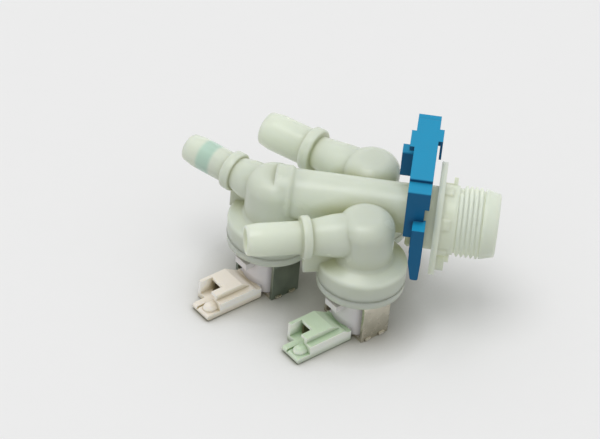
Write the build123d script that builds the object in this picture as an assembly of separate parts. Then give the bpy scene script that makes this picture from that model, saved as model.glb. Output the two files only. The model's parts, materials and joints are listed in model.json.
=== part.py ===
# Three-way cold water inlet valve of a washing machine, in millimetres.
# Frame: the origin is on the inlet axis, in the plane where the flange bears on the cabinet's back panel.
# +X points out of the inlet, +Z points up from the solenoids to the hose outlets.
import os

from build123d import *

# Inlet, a 3/4 inch hose thread
thread_root_r = 12.06
thread_length = 9.6
nose_r = 13.1
nose_tip_r = 11.7
nose_length = 5.8
nose_round = 0.9
neck_r = 12.9
neck_length = 5.6
inlet_bore_r = 10.2
flange_r = 21.0
flange_thick = 2.3
foot_width = 11.0
foot_thick = 5.3
foot_height = 7.0
key_count = 6
key_width = 4.2
key_height = 0.7
key_length = 3.4
fin_count = 2
fin_width = 3.4
fin_height = 2.8
fin_thick = 1.5
fin_angle = 51.0
fin_back = 1.1

# Collar behind the flange, where the bracket clips on
collar_r = 11.8
collar_length = 10.0
groove_r = 11.0
clip_gap = 0.1

# Main tube
main_rise = 2.7
main_r = 9.35
main_bore_r = 7.2
pair_back = 25.0
pair_half = 16.9
pair_stagger = 0.7
end_back = 60.0
feed_r = 2.2
feed_wall = 2.0

# Valve chamber, one for each solenoid
elbow_drop = 0.9
elbow_r = 10.7
elbow_top_z = 10.7
elbow_round = 6.0
elbow_cove = 1.4
shell_wall = 2.2
roof_inner_z = -7.3
roof_outer_z = -9.9
roof_round = 1.3
chamber_r = 16.6
socket_r = 10.2
socket_reach = 7.0
socket_taper = 1.2
rim_z = -17.3
rim_r = 16.4
chamber_wall = 2.2
seat_z = -16.0
seat_bore_r = 5.0
seat_tube_r = 7.0

# Hose outlets: direction from the -X axis, lengths from the chamber axis, radii, stop bead, neck behind the bead
outlet_wall = 1.75
outlet_lead = 4.5
outlet_lead_drop = 0.7
outlet_round = 0.7
bead_round = 0.9
bead_foot = 0.5
neck_blend = 30.0
web_thick = 2.8
web_drop = 3.9
front_turn = -16.5
front_length = 44.4
front_r = 6.15
front_bead = 20.6
front_bead_width = 3.4
front_bead_height = 1.9
front_neck_r = 6.4
front_root_r = 8.2
rear_turn = 26.5
rear_length = 46.8
rear_r = 7.2
rear_bead = 23.6
rear_bead_width = 4.2
rear_bead_height = 1.5
rear_neck_r = 6.2
rear_root_r = 8.0
end_turn = 30.5
end_length = 40.0
end_r = 5.95
end_bead = 16.8
end_bead_width = 4.0
end_bead_height = 1.6
end_neck_r = 6.2
end_root_r = 7.8

# Bonnet with its guide tube
bonnet_side_z = -20.5
bonnet_base_r = 13.0
bonnet_base_z = -23.5
bonnet_floor_z = -21.2
bonnet_ledge_z = -19.0
bead_pocket_r = 15.2
bonnet_well_r = 13.2
guide_r = 5.2
run_gap = 0.1
guide_end_z = -38.6
guide_end_wall = 1.0

# Diaphragm and its insert
seal_gap = 0.1
diaphragm_bead = 1.7
membrane_thick = 0.8
hub_r = 6.4
hub_hole_r = 4.0
hub_height = 1.8
insert_flange_r = 6.2
insert_flange = 1.0
pilot_r = 0.6
insert_fit = 0.08

# Plunger and spring
plunger_r = 4.0
plunger_top_z = -19.8
plunger_length = 12.7
tip_r = 2.0
tip_depth = 1.2
spring_pocket_r = 2.7
spring_pocket = 4.0
spring_r = 2.1
spring_wire = 0.55
spring_turns = 5

# Solenoid: steel yoke, bushes, bobbin with connector, winding and overmould
yoke_sheet = 1.2
yoke_half = 11.0
yoke_width = 12.6
yoke_top_z = -23.7
yoke_base_z = -40.2
yoke_bend_r = 1.6
tab_width = 2.6
tab_space = 6.4
tab_proud = 0.3
bush_r = 6.0
bush_length = 4.2
bobbin_bore_gap = 0.05
bobbin_wall = 0.8
bobbin_flange_r = 9.0
bobbin_flange = 1.0
winding_gap = 0.1
coil_r = 9.6
coil_gap = 0.1
cap_thick = 2.2
lip_reach = 13.4
lip_width = 6.4
lip_height = 2.6
solenoid_turn = 45.0

# Plug connector on the bobbin
plug_near = 7.5
plug_far = 5.9
plug_lift = 0.4
plug_height = 7.8
plug_root = 8.6
plug_ramp_start = 10.0
plug_ramp_end = 16.0
plug_ramp_rise = 4.2
plug_mouth = 28.0
plug_wall = 1.3
plug_back = 18.0
notch_length = 5.1
notch_width = 6.4
tongue_length = 5.8
tongue_width = 9.4
tongue_thick = 2.2
tongue_slot = 0.8
nub_r = 2.4
nub_length = 5.6
nub_inset = 1.2
step_width = 2.6
step_drop = 2.2
blade_height = 3.6
blade_thick = 0.8
blade_space = 4.6
blade_reach = 5.4
blade_tail = 3.0

# Mounting bracket
rim_front_x = -2.4
rim_depth = 8.4
web_front_x = -4.0
bracket_web = 4.0
bracket_wall = 2.0
crown_half = 18.1
crown_z = 31.3
shoulder_step = 1.3
ledge_near = 6.3
ledge_far = 4.4
side_base_z = 9.3
relief_top_z = 22.6
relief_depth = 1.6
leg_width = 4.0
leg_base_z = -6.0
mouth_half = 10.2
latch_reach = 5.6
latch_top_z = 17.1
latch_tip_z = -5.8
latch_taper_z = 2.2
latch_front_x = -3.1
latch_depth = 4.6
latch_tip_depth = 2.8
latch_tip_front = 0.3
latch_round = 0.8
block_reach = 4.2
block_y = 8.8
block_depth = 5.6
block_top_z = 23.9
block_height = 10.8
block_round = 1.0
arm_reach = 1.7
arm_thick = 0.9
arm_y = 8.9
arm_width = 7.2
arm_base_z = 23.0
ear_back = 2.4
crown_round = 0.6
window_count = 3
window_r = 4.4

# Parts in the inlet and the end outlet
regulator_seat = 1.5
regulator_r = 10.0
regulator_depth = 5.0
regulator_bore_r = 4.2
disc_r = 7.6
disc_thick = 2.6
disc_bore_r = 2.4
strainer_r = 9.9
strainer_rim = 1.6
strainer_wall = 0.9
strainer_tip_r = 5.0
strainer_length = 10.5
strainer_ribs = 6
pull_width = 2.4
pull_length = 3.0
restrictor_start = 26.6
restrictor_length = 6.6
restrictor_bore_r = 1.6
insert_press = 0.02

# Values that follow from the ones above
neck_x = flange_thick
plug_base_z = yoke_base_z + plug_lift
plug_top_z = plug_base_z + plug_height
plug_ramp_z = plug_base_z + plug_ramp_rise
guide_bore_r = plunger_r + run_gap
thread_x = neck_x + neck_length
nose_x = thread_x + thread_length
inlet_end_x = nose_x + nose_length
outlet_z = main_rise - elbow_drop
plenum_r = elbow_r - shell_wall
plenum_floor_z = roof_inner_z + chamber_wall / 2
annulus_roof_z = roof_inner_z - chamber_wall
annulus_r = rim_r - chamber_wall
feed_offset = annulus_r - feed_r - 0.2
main_end_x = -end_back + plenum_r + feed_wall
yoke_inner = yoke_half - yoke_sheet
winding_top_z = yoke_top_z - yoke_sheet - cap_thick
winding_base_z = yoke_base_z + yoke_sheet + cap_thick
valves = {
    "front": (-pair_back + pair_stagger, -pair_half, solenoid_turn),
    "rear": (-pair_back - pair_stagger, pair_half, -solenoid_turn),
    "end": (-end_back, 0.0, solenoid_turn),
}
outlets = {
    "front": (front_turn, front_length, front_r),
    "rear": (rear_turn, rear_length, rear_r),
    "end": (end_turn, end_length, end_r),
}
beads = {
    "front": (front_bead, front_bead_width, front_bead_height),
    "rear": (rear_bead, rear_bead_width, rear_bead_height),
    "end": (end_bead, end_bead_width, end_bead_height),
}
necks = {
    "front": (front_neck_r, front_root_r),
    "rear": (rear_neck_r, rear_root_r),
    "end": (end_neck_r, end_root_r),
}


def rounded(points, place):
    """Closed face from (a, b) or (a, b, corner radius) points; place turns a pair into a point in space."""
    radii = [point[2] if len(point) == 3 else 0 for point in points]
    line = FilletPolyline(*[place(point[0], point[1]) for point in points], radius=radii, close=True)
    return make_face(line)


def turned(points):
    """Revolve an outline of (radius, height) points about Z."""
    return revolve(rounded(points, lambda r, z: (r, 0, z)), Axis.Z)


def lathe_x(points):
    """Revolve an outline of (x, radius) points about X."""
    return revolve(rounded(points, lambda x, r: (x, 0, r)), Axis.X)


def disc(radius, low, high):
    """An upright cylinder between two heights."""
    return Pos(0, 0, (low + high) / 2) * Cylinder(radius, high - low)


def block(x0, x1, y0, y1, z0, z1):
    """A box between two corners."""
    return Pos((x0 + x1) / 2, (y0 + y1) / 2, (z0 + z1) / 2) * Box(x1 - x0, y1 - y0, z1 - z0)


def chamber_shell():
    """Outside of one valve chamber: rounded elbow post on a sloping roof with a round wall."""
    points = [(0, elbow_top_z), (elbow_r, elbow_top_z, elbow_round), (elbow_r, roof_inner_z, elbow_cove)]
    points += [(chamber_r, roof_outer_z, roof_round), (rim_r, rim_z), (0, rim_z)]
    return turned(points)


def chamber_hollow():
    """Inside of one valve chamber: outlet plenum, seat bore and the water ring around the seat tube."""
    top = elbow_top_z - shell_wall
    plenum = [(0, top), (plenum_r, top, elbow_round - shell_wall), (plenum_r, plenum_floor_z), (0, plenum_floor_z)]
    bore = disc(seat_bore_r, seat_z - 0.5, plenum_floor_z + 0.5)
    slope = (roof_outer_z - roof_inner_z) / (chamber_r - elbow_r)
    ring = [(0, rim_z), (annulus_r, rim_z), (annulus_r, annulus_roof_z + slope * (annulus_r - elbow_r))]
    ring += [(elbow_r, annulus_roof_z), (seat_tube_r, annulus_roof_z), (seat_tube_r, seat_z), (0, seat_z)]
    return turned(plenum) + bore + turned(ring)


def outlet_frame(name):
    """Place of an outlet: its local X runs from the chamber axis out of the hose end."""
    x, y, _ = valves[name]
    turn = outlets[name][0]
    return Pos(x, y, outlet_z) * Rot(0, 0, 180 - turn)


def outlet_stub(name):
    """Hose stub with a lead-in tip, a hose stop bead, a flared neck and a web down to the chamber roof."""
    _, length, radius = outlets[name]
    bead, width, height = beads[name]
    neck_end_r, root_r = necks[name]
    tip_r = radius - outlet_lead_drop
    bead_r = radius + height
    points = [(0, 0), (0, root_r), (elbow_r, root_r, neck_blend), (bead, neck_end_r), (bead, bead_r, bead_round)]
    points += [(bead + width, bead_r, bead_round), (bead + width, radius, bead_foot)]
    points += [(length - outlet_lead, radius), (length, tip_r, outlet_round), (length, 0)]
    web_low = roof_outer_z - web_drop - outlet_z
    web = block(plenum_r + 0.6, bead + width / 2, -web_thick / 2, web_thick / 2, web_low, 0)
    return outlet_frame(name) * (lathe_x(points) + web)


def outlet_bore(name):
    """Water way of a hose stub, from the plenum to the tip."""
    _, length, radius = outlets[name]
    start = plenum_r / 2
    bore = Pos((start + length) / 2 + 1, 0, 0) * Rot(0, 90, 0) * Cylinder(radius - outlet_wall, length - start + 2)
    return outlet_frame(name) * bore


def inlet_outside():
    """Threaded inlet, keyed neck, flange and the grooved collar behind it."""
    points = [(-collar_length, 0), (-collar_length, groove_r), (-collar_length + 1, collar_r)]
    points += [(web_front_x - bracket_web - clip_gap, collar_r), (web_front_x - bracket_web - clip_gap, groove_r)]
    points += [(web_front_x + clip_gap, groove_r), (web_front_x + clip_gap, collar_r), (0, collar_r), (0, flange_r)]
    points += [(flange_thick, flange_r), (flange_thick, neck_r), (thread_x, neck_r), (thread_x, thread_root_r)]
    points += [(nose_x, thread_root_r), (nose_x, nose_r), (inlet_end_x, nose_tip_r, nose_round)]
    points += [(inlet_end_x, 0)]
    inlet = lathe_x(points)
    foot = block(0, foot_thick, -foot_width / 2, foot_width / 2, -flange_r, -flange_r + foot_height)
    inlet += foot & (Pos(foot_thick / 2, 0, 0) * Rot(0, 90, 0) * Cylinder(flange_r, foot_thick))
    for i in range(key_count):
        key = block(0.5, neck_x + key_length, -key_width / 2, key_width / 2, thread_root_r, neck_r + key_height)
        inlet += Rot(360 / key_count * i, 0, 0) * key
    for i in range(fin_count):
        fin_x = thread_x - fin_back
        fin = block(fin_x - fin_thick, fin_x, -fin_width / 2, fin_width / 2, thread_root_r, neck_r + fin_height)
        inlet += Rot(fin_angle - 90 + 360 / fin_count * i, 0, 0) * fin
    return inlet


def valve_body():
    """The one-piece moulding that carries everything else."""
    run = end_back - collar_length + 1
    main = Pos(-end_back + run / 2, 0, main_rise) * Rot(0, 90, 0) * Cylinder(main_r, run)
    body = inlet_outside() + main
    socket_x = -end_back + socket_reach
    socket = [(-end_back, 0), (-end_back, socket_r), (socket_x - socket_taper, socket_r), (socket_x, main_r), (socket_x, 0)]
    body += Pos(0, 0, main_rise) * lathe_x(socket)
    reach = pair_half - elbow_r + 1
    duct_half = feed_r + feed_wall
    duct_x = duct_half + pair_stagger
    body += block(-pair_back - duct_x, -pair_back + duct_x, -reach, reach, roof_outer_z, main_rise)
    end_feed_x = -end_back + feed_offset
    body += block(-end_back + elbow_r - 2, end_feed_x + duct_half, -duct_half, duct_half, roof_outer_z - 1, main_rise)
    for name, (x, y, _) in valves.items():
        body += Pos(x, y, 0) * chamber_shell()
        body += outlet_stub(name)
    bore_run = regulator_seat - main_end_x + 1
    body -= Pos(main_end_x + bore_run / 2, 0, main_rise) * Rot(0, 90, 0) * Cylinder(main_bore_r, bore_run)
    inlet_run = inlet_end_x - regulator_seat
    body -= Pos(regulator_seat + inlet_run / 2, 0, 0) * Rot(0, 90, 0) * Cylinder(inlet_bore_r, inlet_run)
    for name, (x, y, _) in valves.items():
        body -= Pos(x, y, 0) * chamber_hollow()
        body -= outlet_bore(name)
    feed_low = annulus_roof_z - 3.5
    for name, inward in (("front", 1), ("rear", -1)):
        x, y, _ = valves[name]
        body -= Pos(x, y + inward * feed_offset, 0) * disc(feed_r, feed_low, main_rise - main_bore_r / 2)
    body -= Pos(end_feed_x, 0, 0) * disc(feed_r, feed_low, main_rise - main_bore_r / 2)
    return body


def bonnet():
    """Lower chamber half with the closed guide tube for the plunger."""
    points = [(0, rim_z), (rim_r, rim_z), (rim_r - 0.1, bonnet_side_z), (bonnet_base_r, bonnet_base_z)]
    points += [(guide_r, bonnet_base_z), (guide_r, guide_end_z), (0, guide_end_z)]
    hollow = [(0, rim_z), (bead_pocket_r, rim_z), (bead_pocket_r, bonnet_ledge_z), (bonnet_well_r, bonnet_ledge_z)]
    hollow += [(bonnet_well_r, bonnet_floor_z), (guide_bore_r, bonnet_floor_z)]
    hollow += [(guide_bore_r, guide_end_z + guide_end_wall), (0, guide_end_z + guide_end_wall)]
    return turned(points) - turned(hollow)


def diaphragm():
    """Rubber disc: clamped bead, thin membrane and the hub that closes the seat."""
    top = seat_z - seal_gap
    bead_top = bonnet_ledge_z + diaphragm_bead - seal_gap
    hub_base = top - hub_height
    points = [(hub_hole_r, top), (hub_r, top), (hub_r + 1, hub_base + membrane_thick), (bonnet_well_r - 0.4, bead_top)]
    points += [(bead_pocket_r - 0.1, bead_top), (bead_pocket_r - 0.1, bonnet_ledge_z)]
    points += [(bonnet_well_r - 0.2, bonnet_ledge_z), (bonnet_well_r - 0.8, bead_top - membrane_thick)]
    points += [(hub_r + 0.6, hub_base), (hub_hole_r, hub_base)]
    return turned(points)


def diaphragm_insert():
    """Stiff centre of the diaphragm, with the pilot hole that the plunger closes."""
    top = seat_z - seal_gap + 0.5
    base = seat_z - seal_gap - hub_height - insert_fit
    r = hub_hole_r - insert_fit
    points = [(pilot_r, top), (r, top), (r, base), (insert_flange_r, base), (insert_flange_r, base - insert_flange)]
    points += [(pilot_r, base - insert_flange)]
    return turned(points)


def plunger():
    """Soft iron plunger with a pocket at each end."""
    low = plunger_top_z - plunger_length
    body = disc(plunger_r, low, plunger_top_z)
    body = chamfer(body.edges().filter_by(GeomType.CIRCLE), 0.5)
    return body - disc(tip_r, plunger_top_z - tip_depth, plunger_top_z) - disc(spring_pocket_r, low, low + spring_pocket)


def plunger_tip():
    """Rubber button in the plunger's top pocket, which closes the pilot hole."""
    base = plunger_top_z - tip_depth
    top = seat_z - seal_gap - hub_height - insert_fit - insert_flange - seal_gap
    r = tip_r - insert_fit
    return turned([(0, base), (r, base), (r, plunger_top_z), (r * 0.6, top), (0, top)])


def plunger_spring():
    """Return spring between the plunger's lower pocket and the closed end of the guide tube."""
    low = guide_end_z + guide_end_wall + spring_wire / 2 + seal_gap
    high = plunger_top_z - plunger_length + spring_pocket - seal_gap - spring_wire / 2
    path = Helix(pitch=(high - low) / spring_turns, height=high - low, radius=spring_r)
    section = Plane(path @ 0, z_dir=path % 0) * Rectangle(spring_wire, spring_wire)
    return Pos(0, 0, low) * sweep(section, path=path, is_frenet=True)


def pole_bushes():
    """Two steel sleeves that carry the flux from the yoke plates to the plunger."""
    top = yoke_top_z - yoke_sheet
    low = yoke_base_z + yoke_sheet
    upper = disc(bush_r, top - bush_length, top) - disc(guide_r + clip_gap, top - bush_length, top)
    lower = disc(bush_r, low, low + bush_length) - disc(guide_r + clip_gap, low, low + bush_length)
    return upper, lower


def yoke_frame():
    """Bent steel strip: top plate with a hole and two legs with notches for the base plate's tabs."""
    half = yoke_width / 2
    outer = block(-half, half, -yoke_half, yoke_half, yoke_base_z, yoke_top_z)
    top_edges = outer.edges().filter_by(Axis.X).group_by(Axis.Z)[-1]
    outer = fillet(top_edges, yoke_bend_r)
    frame = outer - block(-half, half, -yoke_inner, yoke_inner, yoke_base_z, yoke_top_z - yoke_sheet)
    frame -= disc(guide_r + clip_gap, yoke_top_z - yoke_sheet, yoke_top_z)
    for x in (-tab_space / 2, tab_space / 2):
        frame -= block(x - tab_width / 2, x + tab_width / 2, -yoke_half, yoke_half, yoke_base_z, yoke_base_z + yoke_sheet)
    return frame


def yoke_base():
    """Base plate between the legs, with tabs staked through their notches."""
    half = yoke_width / 2
    plate = block(-half, half, -yoke_inner, yoke_inner, yoke_base_z, yoke_base_z + yoke_sheet)
    reach = yoke_half + tab_proud
    for x in (-tab_space / 2, tab_space / 2):
        plate += block(x - tab_width / 2, x + tab_width / 2, -reach, reach, yoke_base_z, yoke_base_z + yoke_sheet)
    return plate - disc(guide_r + clip_gap, yoke_base_z, yoke_base_z + yoke_sheet)


def plug_outline():
    """Side outline of the connector, out along -X from the coil."""
    points = [(-plug_root, plug_base_z), (-plug_root, plug_ramp_z), (-plug_ramp_start, plug_ramp_z)]
    points += [(-plug_ramp_end, plug_top_z), (-plug_mouth, plug_top_z), (-plug_mouth, plug_base_z)]
    return make_face(Polyline(*[(x, 0, z) for x, z in points], close=True))


def connector():
    """Plug housing: box with a notched roof, a latch tongue with a round nub and a stepped side."""
    width = plug_near + plug_far
    box = Pos(0, (plug_far - plug_near) / 2, 0) * extrude(plug_outline(), width / 2, both=True)
    box -= block(-plug_mouth, -plug_root, -plug_near, -plug_near + step_width, plug_top_z - step_drop, plug_top_z)
    floor_z = plug_base_z + tongue_thick
    roof_z = plug_top_z - plug_wall
    side = plug_far - plug_wall
    box -= block(-plug_mouth, -plug_back, -plug_near + step_width + plug_wall, side, floor_z, roof_z)
    box -= block(-plug_mouth, -plug_mouth + notch_length, side - notch_width, side, roof_z, plug_top_z)
    tip = plug_mouth + tongue_length
    tongue = block(-tip, -plug_mouth, -plug_near, -plug_near + tongue_width, plug_base_z, floor_z)
    tongue = chamfer(tongue.edges().filter_by(Axis.Y).group_by(Axis.X)[0], tongue_thick / 3)
    slot_y = -plug_near + nub_inset + 2 * nub_r + tongue_slot / 2
    tongue -= block(-tip, -plug_mouth, slot_y - tongue_slot / 2, slot_y + tongue_slot / 2, floor_z - tongue_slot, floor_z)
    nub_y = -plug_near + nub_inset + nub_r
    nub_start = -tip + nub_r + nub_inset
    nub = Pos(nub_start + nub_length / 2, nub_y, floor_z) * Rot(0, 90, 0) * Cylinder(nub_r, nub_length)
    nub += Pos(nub_start, nub_y, floor_z) * Sphere(nub_r)
    nub -= block(-tip - nub_r, 0, -plug_near, plug_far, plug_base_z - nub_r, floor_z - tongue_thick / 2)
    return box + tongue + nub


def terminals():
    """Two flat brass blades pressed into the back wall of the connector."""
    z = (plug_base_z + tongue_thick + plug_top_z - plug_wall) / 2
    middle = (step_width + plug_far - plug_near) / 2
    start = -plug_back - blade_reach
    end = -plug_back + blade_tail
    half_w = blade_thick / 2
    half_h = blade_height / 2
    spots = (middle - blade_space / 2, middle + blade_space / 2)
    return [block(start, end, y - half_w, y + half_w, z - half_h, z + half_h) for y in spots]


def coil_bobbin():
    """Bobbin tube with two flanges and the plug connector, one coloured moulding."""
    top = winding_top_z + bobbin_flange
    low = winding_base_z - bobbin_flange
    bore_r = bush_r + bobbin_bore_gap
    core = disc(bore_r + bobbin_wall, low, top)
    core += disc(bobbin_flange_r, winding_top_z, top) + disc(bobbin_flange_r, low, winding_base_z)
    stem_half = plug_far / 2
    stem = block(-plug_root - plug_wall, -bore_r - bobbin_wall / 2, -stem_half, stem_half, low, winding_base_z)
    body = core + stem + connector() - disc(bore_r, low - 1, top + 1)
    for blade in terminals():
        body -= blade
    return body


def coil_winding():
    """Copper winding between the bobbin flanges."""
    inner = bush_r + bobbin_bore_gap + bobbin_wall + winding_gap
    outer = bobbin_flange_r - 0.4
    low = winding_base_z + winding_gap
    high = winding_top_z - winding_gap
    return disc(outer, low, high) - disc(inner, low, high)


def coil_overmould():
    """Grey plastic moulded round the winding, with a lip under the yoke's top plate."""
    top = yoke_top_z - yoke_sheet
    low = yoke_base_z + yoke_sheet
    shell = disc(coil_r, low + coil_gap, top - coil_gap)
    shell += block(-lip_reach, 0, -lip_width / 2, lip_width / 2, top - coil_gap - lip_height, top - coil_gap)
    shell += block(-plug_root, 0, -plug_far, plug_far, low + coil_gap, plug_ramp_z)
    shell -= block(-plug_mouth, -plug_root, -plug_near, plug_far, plug_base_z, plug_ramp_z)
    shell -= disc(bush_r + bobbin_bore_gap, low, top)
    shell -= disc(bobbin_flange_r + coil_gap, winding_base_z - bobbin_flange, winding_top_z + bobbin_flange)
    stem_half = plug_far / 2
    shell -= block(-plug_root - plug_wall, 0, -stem_half, stem_half, winding_base_z - bobbin_flange, winding_base_z)
    return shell


def slab(points, x0, x1):
    """An outline of (y, z) points drawn out between two X values."""
    return Pos(x0, 0, 0) * extrude(rounded(points, lambda y, z: (0, y, z)), x1 - x0, dir=(1, 0, 0))


def arch(inset):
    """Outline of the bracket's arch, moved inwards by a wall thickness; the far side is +Y."""
    top = crown_z - inset
    ledge = top - shoulder_step
    near = -crown_half - ledge_near + inset
    far = crown_half + ledge_far - inset
    crown = crown_half - inset
    points = [(near, side_base_z), (near, ledge, crown_round), (-crown, ledge), (-crown, top, crown_round)]
    return points + [(crown, top, crown_round), (crown, ledge), (far, ledge, crown_round), (far, side_base_z)]


def bracket_latch(wall_y, side):
    """Squeeze latch outside one side wall: a bent arm with a tapered tip, reaching out to +Y or -Y."""
    y_out = wall_y + side * latch_reach
    y_in = y_out - side * bracket_wall
    back = latch_front_x - latch_depth
    y_low, y_high = sorted((wall_y - side * bracket_wall / 2, y_out))
    top = block(back, latch_front_x, y_low, y_high, latch_top_z - bracket_wall, latch_top_z)
    tip_front = latch_front_x - latch_tip_front
    tip_back = tip_front - latch_tip_depth
    points = [(back, latch_top_z), (latch_front_x, latch_top_z), (latch_front_x, latch_taper_z)]
    points += [(tip_front, latch_tip_z, latch_round), (tip_back, latch_tip_z, latch_round), (back, latch_taper_z)]
    face = rounded(points, lambda x, z: (x, y_in, z))
    return top + extrude(face, bracket_wall, dir=(0, side, 0))


def mounting_bracket():
    """Clip bracket: ribbed arch with a saddle on the collar, two side latches and a panel hook."""
    near_y = -crown_half - ledge_near
    far_y = crown_half + ledge_far
    rim_back = rim_front_x - rim_depth
    web_back = web_front_x - bracket_web
    rim = slab(arch(0), rim_back, rim_front_x) - slab(arch(bracket_wall), rim_back, rim_front_x)
    relief_x = rim_front_x - relief_depth
    rim -= block(relief_x, rim_front_x, near_y, far_y, side_base_z, relief_top_z)
    leg_out = groove_r + leg_width
    web = slab(arch(0), web_back, web_front_x)
    web += block(web_back, web_front_x, -leg_out, leg_out, leg_base_z, side_base_z)
    web -= Rot(0, 90, 0) * Cylinder(groove_r + clip_gap, 6 * bracket_web)
    web -= block(-collar_length * 2, 0, -mouth_half, mouth_half, 2 * leg_base_z, 0)
    window_z = (groove_r + leg_width + crown_z - bracket_wall) / 2
    pitch = 2 * crown_half / window_count
    for i in range(window_count):
        y = (i - (window_count - 1) / 2) * pitch
        web -= Pos(web_front_x - bracket_web / 2, y, window_z) * Rot(0, 90, 0) * Cylinder(window_r, bracket_web * 2)
    bracket = rim + web + bracket_latch(near_y, -1) + bracket_latch(far_y, 1)
    block_y0 = block_y - block_depth / 2
    hook_points = [(block_y0, block_top_z, block_round), (block_y0 + block_depth, block_top_z, block_round)]
    hook_points += [(block_y0 + block_depth, block_top_z - block_height), (block_y0, block_top_z - block_height)]
    hook = slab(hook_points, rim_back - block_reach, web_back)
    ear_y0 = block_y0 - block_depth
    ear_y1 = arm_y + arm_width / 2
    hook += block(rim_back - arm_reach, rim_back, ear_y0, ear_y1 - ear_back, crown_z - bracket_wall, crown_z)
    arm_y0 = arm_y - arm_width / 2
    arm_x = rim_front_x + arm_reach
    hook += block(rim_front_x, arm_x, arm_y0, ear_y1, crown_z - bracket_wall, crown_z)
    hook += block(arm_x - arm_thick, arm_x, arm_y0, arm_y0 + arm_width / 2, arm_base_z, crown_z)
    return bracket + hook


def regulator_holder():
    """Cup at the bottom of the inlet bore that holds the flow washer."""
    x0 = regulator_seat
    x1 = regulator_seat + regulator_depth
    lip = bracket_wall / 2
    points = [(x0, regulator_bore_r), (x0, regulator_r), (x1, regulator_r), (x1, disc_r + insert_fit)]
    points += [(x1 - disc_thick - lip, disc_r + insert_fit), (x1 - disc_thick - lip, regulator_bore_r)]
    return lathe_x(points)


def regulator_disc():
    """Rubber washer that swells with pressure and keeps the flow even."""
    x1 = regulator_seat + regulator_depth - bracket_wall / 2
    points = [(x1 - disc_thick, disc_bore_r), (x1 - disc_thick, disc_r), (x1, disc_r), (x1, disc_bore_r + 0.8)]
    return lathe_x(points)


def inlet_strainer():
    """Cone-shaped inlet filter: rim, closed tip, ribs with open slots and a pull tab."""
    x1 = inlet_end_x - strainer_rim
    x0 = x1 - strainer_length
    points = [(x0, 0), (x0, strainer_tip_r), (x1 - strainer_rim, strainer_r - 1), (x1 - strainer_rim, strainer_r)]
    points += [(x1, strainer_r), (x1, strainer_r - 1 - strainer_wall), (x1 - strainer_rim, strainer_r - 1 - strainer_wall)]
    points += [(x0 + strainer_wall, strainer_tip_r - strainer_wall), (x0 + strainer_wall, 0)]
    cup = lathe_x(points)
    slot_x0 = x0 + 2 * strainer_wall
    slot_x1 = x1 - strainer_rim - strainer_wall
    for i in range(strainer_ribs):
        slot = block(slot_x0, slot_x1, -strainer_tip_r * 0.4, strainer_tip_r * 0.4, strainer_tip_r / 2, strainer_r)
        cup -= Rot(360 / strainer_ribs * i, 0, 0) * slot
    pull = block(x0, x1 - pull_length, -pull_width / 2, pull_width / 2, -strainer_wall / 2, strainer_wall / 2)
    return cup + pull


def outlet_restrictor():
    """Coloured flow nozzle pressed into the end outlet."""
    radius = end_r - outlet_wall - insert_press
    x0 = restrictor_start
    x1 = restrictor_start + restrictor_length
    points = [(x0, restrictor_bore_r + 1), (x0, radius), (x1, radius), (x1, restrictor_bore_r)]
    points += [((x0 + x1) / 2, restrictor_bore_r)]
    return outlet_frame("end") * lathe_x(points)


def save(name, *solids):
    """Write one node as its own file."""
    shape = solids[0] if len(solids) == 1 else Compound(children=list(solids))
    export_step(shape, f"parts/{name}.step")


per_valve = {
    "bonnet": (bonnet(),),
    "diaphragm": (diaphragm(),),
    "diaphragm_insert": (diaphragm_insert(),),
    "plunger": (plunger(),),
    "plunger_tip": (plunger_tip(),),
    "plunger_spring": (plunger_spring(),),
    "pole_bushes": pole_bushes(),
    "yoke_frame": (yoke_frame(),),
    "yoke_base": (yoke_base(),),
    "coil_bobbin": (coil_bobbin(),),
    "coil_winding": (coil_winding(),),
    "coil_overmould": (coil_overmould(),),
    "terminals": terminals(),
}

os.makedirs("parts", exist_ok=True)
save("valve_body", valve_body())
save("mounting_bracket", mounting_bracket())
save("regulator_holder", regulator_holder())
save("regulator_disc", regulator_disc())
save("inlet_strainer", inlet_strainer())
save("outlet_restrictor", outlet_restrictor())
for valve_name, (valve_x, valve_y, valve_turn) in valves.items():
    place = Pos(valve_x, valve_y, 0) * Rot(0, 0, valve_turn)
    for piece_name, solids in per_valve.items():
        save(f"{valve_name}_{piece_name}", *[place * solid for solid in solids])
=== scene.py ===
# %% [markdown]
# # A three-way washing machine inlet valve
#
# The valve joins a fill hose to three dispenser hoses. A waxy off-white moulding carries the water,
# a blue bracket clips it to the cabinet, and three coils under it open the three ways.
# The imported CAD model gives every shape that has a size. This lesson adds the looks: materials,
# the hose thread, the filter's mesh, weld beads and stake marks, the light and the camera.

import json
from math import pi, radians

import bpy
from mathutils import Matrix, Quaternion, Vector


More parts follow.
